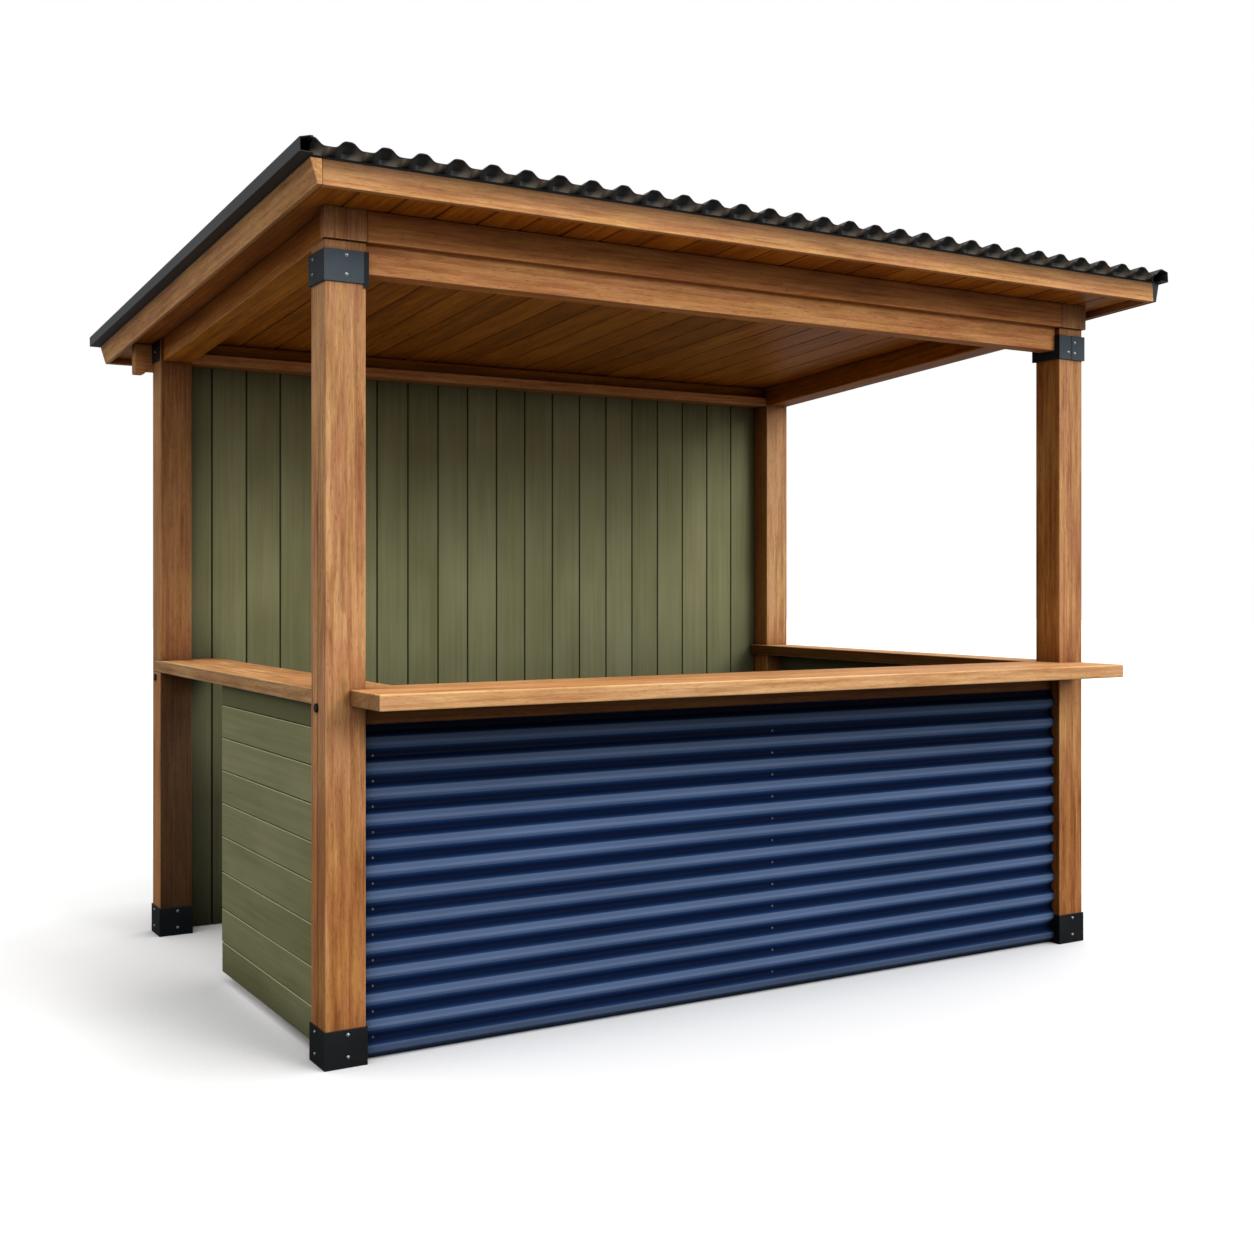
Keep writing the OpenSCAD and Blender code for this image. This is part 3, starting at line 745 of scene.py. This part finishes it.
for node in ("rear_header", "roof_battens"):
    dress(node, ceilingTimber, xAxis, timbers["arris"])
for node in ("side_beam_left", "side_beam_right"):
    dress(node, ceilingTimber, roofDown, timbers["arris"])
print("frame timbers dressed")

counters = {"arris": 0.005, "segments": 3}
counterRows = [
    ("counter_front", counterTimber, xAxis), ("shelf_left", leftShelfTimber, yAxis),
    ("shelf_right", rightShelfTimber, yAxis),
]
for node, material, along in counterRows:
    dress(node, material, along, counters["arris"], counters["segments"])
print("counters dressed")


# Rows of tongued boards with V joints on both faces

def boardOutline(low, high, thick, vee, slit, tongue):
    # section of one board, across and through, with a tongue that closes the next joint
    left, right = low + slit, high - slit
    mid = thick / 2
    outline = [(left, vee), (left + vee, 0), (right - vee, 0), (right, vee)]
    if tongue:
        outline += [(right, mid - tongue), (right + 2 * slit, mid - tongue)]
        outline += [(right + 2 * slit, mid + tongue), (right, mid + tongue)]
    outline += [(right, thick - vee), (right - vee, thick), (left + vee, thick), (left, thick - vee)]
    return outline


def addPrism(bm, outline, place, start, end):
    # joins an outline at two ends of the length
    rings = []
    for length in (start, end):
        rings.append([bm.verts.new(place(a, length, n)) for a, n in outline])
    faces = [bm.faces.new(rings[0]), bm.faces.new(list(reversed(rings[1])))]
    count = len(outline)
    for i in range(count):
        j = (i + 1) % count
        faces.append(bm.faces.new((rings[0][i], rings[1][i], rings[1][j], rings[0][j])))
    return rings[0] + rings[1], faces


def boardRow(row, material):
    node, across, along, through = row["node"], row["across"], row["along"], row["through"]
    lowA, highA = span(node, across)
    lowL, highL = span(node, along)
    lowN, highN = span(node, through)
    thick = highN - lowN
    dice = random.Random(node)
    bm = startMesh()

    def place(a, length, n):
        return across * a + along * length + through * (lowN + n)

    def layBoard(low, high, start, end, tongue, tone):
        outline = boardOutline(low, high, thick, row["vee"], row["slit"], tongue)
        verts, faces = addPrism(bm, outline, place, start, end)
        bmesh.ops.recalc_face_normals(bm, faces=faces)
        grainPart(bm, verts, faces, along, dice, tone)
        marks = layersOf(bm)[1]
        for face in faces:
            isEnd = abs(face.normal.dot(along)) >= looking["aside"]
            if abs(face.normal.dot(through)) < looking["flat"] and not isEnd:
                # painted highlight on bevels that look up, dark joints on the others
                upper = row["litArris"] and looking["least"] < face.normal.dot(across) < looking["most"]
                edge, groove = (row["litArris"], 0) if upper else (0, row["joint"])
                face[marks] = Vector((edge, groove, tone))

    joints = [lowA, *row["joints"], highA]
    for index, (low, high) in enumerate(zip(joints, joints[1:])):
        last = index == len(joints) - 2
        tongue = 0 if last else row["tongue"]
        tone = dice.uniform(-1, 1)
        # painted shadow under the shelf on the top board
        if last:
            tone += row["shelfShadowTone"]
        start, end = lowL, highL
        if row["shoe"] == "ends" and low < shoeHeadZ:
            start += shoeProud
            end -= shoeProud
        if row["shoe"] == "sides" and (index == 0 or last):
            inset = shoeProud - row["slit"]
            layBoard(low + inset * (index == 0), high - inset * last, start, shoeHeadZ, tongue, tone)
            start = shoeHeadZ
        layBoard(low, high, start, end, tongue, tone)
    addPiece("boards_" + node, bm, material, (node,))


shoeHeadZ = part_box("shoe_front_left")[1].z
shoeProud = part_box("shoe_front_left")[1].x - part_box("post_front_left")[1].x
boardJoint = {
    "vee": 0.0030, "slit": 0.0009, "tongue": 0.003, "shoe": "", "litArris": 0.0, "shelfShadowTone": 0.0,
}
boards = {"first": 0.106, "pitch": 0.1395, "wallJoints": 19, "ceilingBoards": 23}
wallLow = span("rear_wall", xAxis)[0]
wallJoints = [wallLow + boards["first"] + boards["pitch"] * i for i in range(boards["wallJoints"])]
ceilingLow, ceilingHigh = span("ceiling_boards", xAxis)
ceilingWide = ceilingHigh - ceilingLow
ceilingCount = boards["ceilingBoards"]
ceilingJoints = [ceilingLow + ceilingWide * i / ceilingCount for i in range(1, ceilingCount)]
sideJoints = [0.138, 0.252, 0.376, 0.498, 0.612, 0.723, 0.834, 0.945]
rearWallRow = {
    "node": "rear_wall", "across": xAxis, "along": zAxis, "through": yAxis,
    "joints": wallJoints, **boardJoint, "shoe": "sides", "joint": 1.55,
}
ceilingRow = {
    "node": "ceiling_boards", "across": xAxis, "along": roofDown, "through": roofUp,
    "joints": ceilingJoints, **boardJoint, "vee": 0.0040, "joint": 0.8,
}
sideWallRow = {
    "across": zAxis, "along": yAxis, "through": xAxis, "joints": sideJoints, **boardJoint,
    "vee": 0.0027, "slit": 0.0006, "shoe": "ends", "litArris": 1.7, "joint": 1.75, "shelfShadowTone": -4.6,
}
boardRow(rearWallRow, oliveRear)
boardRow({"node": "left_wall", **sideWallRow}, oliveBoards)
boardRow({"node": "right_wall", **sideWallRow}, oliveBoards)
boardRow(ceilingRow, ceilingTimber)
print("boards laid")


# Corrugated sheets

waveSharp = 40  # degrees


def waveShape(sheet, turn):
    # height above the troughs as a share of the rise
    c = math.cos(turn)
    once = c * (3 - c * c) / 2
    twice = once * (3 - once * once) / 2
    return ((1 + once + (twice - once) * sheet["flat"]) / 2) ** sheet["narrow"]


def waveSheet(sheet, material):
    # wave rises along out, repeats along across and runs straight along run
    node, across, out, run = sheet["node"], sheet["across"], sheet["out"], sheet["run"]
    lowA, highA = span(node, across)
    lowO, highO = span(node, out)
    lowR, highR = span(node, run)
    rise = highO - lowO - sheet["thick"]
    steps = sheet["waves"] * sheet["steps"]
    start = sheet["firstCrest"] * sheet["waves"] / (highA - lowA)
    bm = startMesh()
    grain, marks = layersOf(bm)

    columns = []
    for i in range(steps + 1):
        a = lowA + (highA - lowA) * i / steps
        inset = sheet["inset"](a)
        turn = 2 * math.pi * (i / sheet["steps"] - start)
        ends = []
        for r in (lowR + inset, highR - inset):
            foot = across * a + out * (lowO + rise * waveShape(sheet, turn)) + run * r
            pair = (bm.verts.new(foot), bm.verts.new(foot + out * sheet["thick"]))
            # painted light on the crests and painted shade in the troughs, shifted down; the second value
            # marks faces that look down, for painted light
            crestLight = (1 + math.cos(turn + 2 * math.pi * sheet["crestLightDrop"])) / 2
            for v in pair:
                v[grain] = Vector((crestLight, max(0.0, -math.sin(turn)) ** 2, 0))
            ends.append(pair)
        columns.append(ends)
    for left, right in zip(columns, columns[1:]):
        (l0, t0), (l1, t1) = left
        (r0, s0), (r1, s1) = right
        top = bm.faces.new((t0, s0, s1, t1))
        foot = bm.faces.new((l0, l1, r1, r0))
        top[marks] = Vector((0, 0, 0))
        foot[marks] = Vector((0, 1, 0))
        for edge in ((l0, r0, s0, t0), (l1, t1, s1, r1)):
            bm.faces.new(edge)[marks] = Vector((0.5, 0, 0))
    for ends in (columns[0], columns[-1]):
        (l0, t0), (l1, t1) = ends
        bm.faces.new((l0, t0, t1, l1))[marks] = Vector((0.5, 0, 0))
    addPiece("sheet_" + node, bm, material, (node,), waveSharp)


roofSheet = {
    "node": "roof_sheet", "across": xAxis, "out": roofUp, "run": roofDown, "thick": 0.002, "waves": 31,
    "steps": 24, "firstCrest": 0.0, "narrow": 1.5, "flat": 0.0, "crestLightDrop": 0.0, "inset": lambda a: 0.0,
}
frontPanel = {
    "node": "front_panel", "across": zAxis, "out": -yAxis, "run": xAxis, "thick": 0.002, "waves": 13,
    "steps": 36, "firstCrest": 0.028, "narrow": 1.0, "flat": 0.2, "crestLightDrop": 0.09,
    "inset": lambda a: shoeProud if a < shoeHeadZ else 0.0,
}
waveSheet(roofSheet, charcoalSheet)
waveSheet(frontPanel, navySheet)
print("corrugated sheets rolled")


# Steel and folded flashings

steelwork = {
    "arris": 0.0012,
    "collars": ["collar_front_left", "collar_front_right"],
    "straps": ["strap_rear_left", "strap_rear_right"],
    "shoes": ["shoe_front_left", "shoe_front_right", "shoe_rear_left", "shoe_rear_right"],
    "flashings": ["flashing_left", "flashing_right"],
    "foldArris": 0.0006,
}
for node in steelwork["collars"]:
    dress(node, collarSteel, zAxis, steelwork["arris"], 2, "steel")
for node in steelwork["straps"] + steelwork["shoes"]:
    dress(node, shoeSteel, zAxis, steelwork["arris"], 2, "steel")
for node in steelwork["flashings"]:
    dress(node, flashingSheet, roofDown, steelwork["foldArris"], 1, "folded")


# Lap plate on the right collar and folded lip on the left one

laps = {"proud": 0.0015, "seamShare": 0.49, "lipWidth": 0.013, "lipDrop": 0.011}


def addPlate(name, low, high, material):
    # plate on the front face of a box
    high.y = low.y
    low.y -= laps["proud"]
    bm = startMesh()
    size = Matrix.Diagonal((high - low).to_4d())
    bmesh.ops.create_cube(bm, size=1.0, matrix=Matrix.Translation((low + high) / 2) @ size)
    addPiece(name, bm, material)


lapLow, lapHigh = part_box("collar_front_right")
lapLow.x += (lapHigh.x - lapLow.x) * laps["seamShare"]
addPlate("steel_lap", lapLow, lapHigh, collarSteel)
lipLow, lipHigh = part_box("collar_front_left")
lipLow.x = lipHigh.x - laps["lipWidth"]
lipLow.z -= laps["lipDrop"]
addPlate("steel_lip", lipLow, lipHigh, shoeSteel)


# Eaves: a black strip on the roof board and a brown closure that follows the sheet above it, with painted
# shadow where it lies under each crest

eaves = {
    "stripHeight": 0.006, "backShare": 0.7, "hollow": 0.92, "steps": 24, "lean": 0.022,
    "capHollow": 0.25, "sink": 0.0006, "shadowFade": 3, "leastProud": 0.001,
    "nodes": ["eave_strip_front", "eave_strip_rear"],
}


def layEave(node):
    boardNode = node.replace("eave_strip", "fascia")
    lowX, highX = span(node, xAxis)
    lowV, highV = span(node, roofUp)
    boardU = span(boardNode, roofDown)
    endU = span(node, roofDown)
    front = abs(endU[0] - boardU[0]) > eaves["leastProud"]
    outer, inner, end = (boardU[0], boardU[1], endU[0]) if front else (boardU[1], boardU[0], endU[1])
    stripV = lowV + eaves["stripHeight"]

    def place(u, x, v):
        return roofDown * u + xAxis * x + roofUp * v

    strip = startMesh()
    back = outer + (inner - outer) * eaves["backShare"]
    outline = [(outer, lowV), (inner, lowV), (inner, highV), (back, highV), (back, stripV), (outer, stripV)]
    addPrism(strip, outline, place, lowX, highX)
    addPiece("folded_" + node, strip, stripBlack, (node,))
    closure = startMesh()
    grain = layersOf(closure)[0]
    sheetLow, sheetHigh = span("roof_sheet", xAxis)
    sheetFoot, sheetHead = span("roof_sheet", roofUp)
    rise = sheetHead - sheetFoot - roofSheet["thick"]
    pitch = (sheetHigh - sheetLow) / roofSheet["waves"]
    steps = roofSheet["waves"] * eaves["steps"]
    rings = []
    for i in range(steps + 1):
        x = lowX + (highX - lowX) * i / steps
        top = sheetFoot + eaves["sink"] + rise * waveShape(roofSheet, 2 * math.pi * (x - sheetLow) / pitch)
        levels = [
            (outer, stripV, eaves["lean"], eaves["hollow"]), (end, highV, 0.0, eaves["hollow"]),
            (end, top, 0.0, eaves["capHollow"]),
        ]
        ring = []
        for face, level, shift, hollow in levels:
            turn = 2 * math.pi * (x + shift - sheetLow) / pitch
            deep = (1 + math.cos(turn)) / 2
            corner = closure.verts.new(place(face + (back - face) * deep * hollow, x, level))
            shadowFade = 1 if math.sin(turn) >= 0 else eaves["shadowFade"]
            # painted shadow: dark under a crest, brown under a trough
            corner[grain] = Vector(((1 - deep) ** shadowFade, 0, 0))
            ring.append(corner)
        for level in (top, stripV):
            ring.append(closure.verts.new(place(back, x, level)))
        rings.append(ring)
    for left, right in zip(rings, rings[1:]):
        for a in range(len(left)):
            b = (a + 1) % len(left)
            closure.faces.new((left[a], right[a], right[b], left[b]))
    closure.faces.new(rings[0])
    closure.faces.new(list(reversed(rings[-1])))
    addPiece("filler_" + node, closure, fillerBrown, (node,), waveSharp)


for node in eaves["nodes"]:
    layEave(node)
print("steel and eaves fitted")


# Bolts, screws and caps

fixings = {
    "sides": 20, "boltRadius": 0.0039, "boltRise": 0.0030, "washerRadius": 0.0053, "washerRise": 0.0010,
    "screwRadius": 0.0042, "screwRise": 0.0026, "screwShare": 0.4, "screwColumns": [-1.345, 0.07],
    "capRadius": 0.013, "capRise": 0.006, "sharp": 35,
    "flatProfile": [(1.0, 0.0), (1.0, 0.8), (0.92, 1.0)],
    "domedProfile": [(1.0, 0.0), (1.0, 0.35), (0.86, 0.72), (0.55, 0.94)],
}


def addButton(bm, place, facing, radius, rise, domed):
    # turned button on a face: a straight rim and, when domed, a rounded head
    profile = fixings["domedProfile"] if domed else fixings["flatProfile"]
    side = facing.orthogonal().normalized()
    up = facing.cross(side)
    count = fixings["sides"]
    rings = []
    for share, lift in profile:
        ring = []
        for i in range(count):
            turn = 2 * math.pi * i / count
            out = side * math.cos(turn) + up * math.sin(turn)
            ring.append(bm.verts.new(place + out * radius * share + facing * rise * lift))
        rings.append(ring)
    for low, high in zip(rings, rings[1:]):
        for i in range(count):
            j = (i + 1) % count
            bm.faces.new((low[i], low[j], high[j], high[i]))
    bm.faces.new(rings[-1])
    bm.faces.new(list(reversed(rings[0])))


def addBolt(bm, place, facing):
    addButton(bm, place, facing, fixings["washerRadius"], fixings["washerRise"], False)
    seat = place + facing * fixings["washerRise"]
    addButton(bm, seat, facing, fixings["boltRadius"], fixings["boltRise"], True)


def onFace(node, facing, across, down):
    # point on a box face, across and down as shares of its size
    low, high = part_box(node)
    spot = Vector(((low.x + high.x) / 2, (low.y + high.y) / 2, high.z - (high.z - low.z) * down))
    if abs(facing.x) > looking["aside"]:
        spot.x = high.x if facing.x > 0 else low.x
        spot.y = low.y + (high.y - low.y) * across
    else:
        spot.y = high.y if facing.y > 0 else low.y
        spot.x = low.x + (high.x - low.x) * across
    return spot


boltPlaces = [
    ("collar_front_left", -yAxis, 0.5, 0.16), ("collar_front_left", -yAxis, 0.5, 0.76),
    ("collar_front_left", -xAxis, 0.66, 0.2), ("collar_front_left", -xAxis, 0.66, 0.68),
    ("collar_front_right", -yAxis, 0.6, 0.28), ("collar_front_right", -yAxis, 0.6, 0.73),
    ("collar_front_right", -yAxis, 0.36, 0.7),
    ("collar_front_right", xAxis, 0.7, 0.2), ("collar_front_right", xAxis, 0.7, 0.68),
    ("strap_rear_left", -xAxis, 0.5, 0.5), ("strap_rear_right", xAxis, 0.5, 0.5),
]
shoeBolts = {"front": 0.54, "side": 0.62, "rear": 0.46, "rows": (0.14, 0.72)}
for node in steelwork["shoes"]:
    outward = -xAxis if "left" in node else xAxis
    boltFaces = [(-yAxis, shoeBolts["front"]), (outward, shoeBolts["side"])]
    if "rear" in node:
        boltFaces.append((yAxis, shoeBolts["rear"]))
    for facing, across in boltFaces:
        boltPlaces += [(node, facing, across, down) for down in shoeBolts["rows"]]
bolts = startMesh()
for node, facing, across, down in boltPlaces:
    spot = onFace(node, facing, across, down)
    if node == "collar_front_right" and facing.y < 0 and across > laps["seamShare"]:
        spot = spot + facing * laps["proud"]
    addBolt(bolts, spot, facing)
addPiece("bolts", bolts, zinc, sharpFrom=fixings["sharp"])

screws = startMesh()
panelLow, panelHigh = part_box("front_panel")
panelPitch = (panelHigh.z - panelLow.z) / frontPanel["waves"]
for column in fixings["screwColumns"]:
    for i in range(frontPanel["waves"] - 1):
        rise = frontPanel["firstCrest"] + panelPitch * (i + fixings["screwShare"])
        spot = Vector((column, panelHigh.y - frontPanel["thick"], panelLow.z + rise))
        addButton(screws, spot, -yAxis, fixings["screwRadius"], fixings["screwRise"], True)
addPiece("screws", screws, screwSteel, sharpFrom=fixings["sharp"])

caps = startMesh()
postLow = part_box("post_front_left")[0]
rearLow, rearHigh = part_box("post_rear_left")
capIn = {"front": 0.07, "rear": 0.048, "back": 0.02}
capHeight = {"front": 1.009, "rear": 0.995, "back": 1.056}
capPlaces = [
    (Vector((postLow.x, postLow.y + capIn["front"], capHeight["front"])), -xAxis, 1.0),
    (Vector((rearLow.x, rearHigh.y - capIn["rear"], capHeight["rear"])), -xAxis, 1.0),
    (Vector((rearLow.x + capIn["back"], rearHigh.y, capHeight["back"])), yAxis, 0.8),
]
for spot, facing, scale in capPlaces:
    addButton(caps, spot, facing, fixings["capRadius"] * scale, fixings["capRise"] * scale, False)
addPiece("caps", caps, plugBlack, sharpFrom=fixings["sharp"])
print("bolts, screws and caps set")


# Studio

studio = {
    "floorHalf": 40.0, "floorWhite": 0.95, "floorBounce": 0.16, "backdrop": 1.0,
    "contactLean": (0.72, -0.60, 0.35), "contactReach": 0.6, "contactPower": 0.55, "contactSamples": 4,
    "level": 0.66, "slant": (0.02, -0.36, 0.98), "least": 0.06,
    "keyLevel": 0.48, "keyHeight": 20.0, "keySide": 24.0, "keySoft": 24.0,
}


def shownDirectly(tree):
    path = addNode(tree, "ShaderNodeLightPath")
    return calc(tree, "MAXIMUM", path.outputs["Is Camera Ray"], path.outputs["Is Transmission Ray"])


def makeFloor():
    half = studio["floorHalf"]
    mesh = bpy.data.meshes.new("floor")
    corners = [(-half, -half, 0), (half, -half, 0), (half, half, 0), (-half, half, 0)]
    mesh.from_pydata(corners, [], [(0, 1, 2, 3)])
    material, tree, shader = startMaterial("floor_pale", 0.9, 0.0)
    # a contact shadow that lies deeper on the side away from the light
    lean = addNode(tree, "ShaderNodeCombineXYZ", dict(zip("XYZ", studio["contactLean"]))).outputs[0]
    contactInputs = {"Distance": studio["contactReach"], "Normal": lean}
    contact = openness(tree, contactInputs, studio["contactSamples"])
    shown = times(tree, calc(tree, "POWER", contact, studio["contactPower"]), studio["floorWhite"])
    bounce = (studio["floorBounce"],) * 3
    tint = blendColour(tree, shownDirectly(tree), bounce, greyOf(tree, shown))
    tree.links.new(tint, shader.inputs["Base Color"])
    mesh.materials.append(material)
    floor = bpy.data.objects.new("floor", mesh)
    bpy.context.scene.collection.objects.link(floor)


def makeWorld():
    # soft light, brighter from the front and above, seen by the object; plain white behind it
    world = bpy.data.worlds.new("studio")
    world.use_nodes = True
    tree = world.node_tree
    way = addNode(tree, "ShaderNodeTexCoord").outputs["Generated"]
    leaning = addNode(tree, "ShaderNodeVectorMath", {0: way, 1: studio["slant"]}, operation="DOT_PRODUCT")
    soft = calc(tree, "ADD", leaning.outputs["Value"], studio["level"])
    soft = calc(tree, "MAXIMUM", soft, studio["least"])
    seen = shownDirectly(tree)
    white = times(tree, seen, studio["backdrop"])
    strength = weighted(tree, [(calc(tree, "SUBTRACT", 1.0, seen), soft)], white)
    tree.links.new(strength, tree.nodes["Background"].inputs["Strength"])
    tree.nodes["Background"].inputs["Color"].default_value = (1, 1, 1, 1)
    bpy.context.scene.world = world


def makeKey():
    light = bpy.data.lights.new("key", "SUN")
    light.energy = math.pi * studio["keyLevel"]
    light.angle = math.radians(studio["keySoft"])
    key = bpy.data.objects.new("key", light)
    rise = math.radians(90 - studio["keyHeight"])
    key.rotation_euler = (rise, 0, math.radians(studio["keySide"]))
    bpy.context.scene.collection.objects.link(key)


makeFloor()
makeWorld()
makeKey()

view = {
    "place": (-2.93335, -5.07792, 1.36386), "yaw": 30.88,
    "lens": 43.235, "sensor": 36.0, "shiftY": -0.03553,
}
cameraData = bpy.data.cameras.new("camera")
cameraData.lens = view["lens"]
cameraData.sensor_width = view["sensor"]
cameraData.shift_y = view["shiftY"]
camera = bpy.data.objects.new("camera", cameraData)
camera.location = view["place"]
camera.rotation_euler = (math.radians(90), 0, -math.radians(view["yaw"]))
bpy.context.scene.collection.objects.link(camera)
bpy.context.scene.camera = camera
bpy.context.scene.view_settings.view_transform = "Standard"
print("studio set")
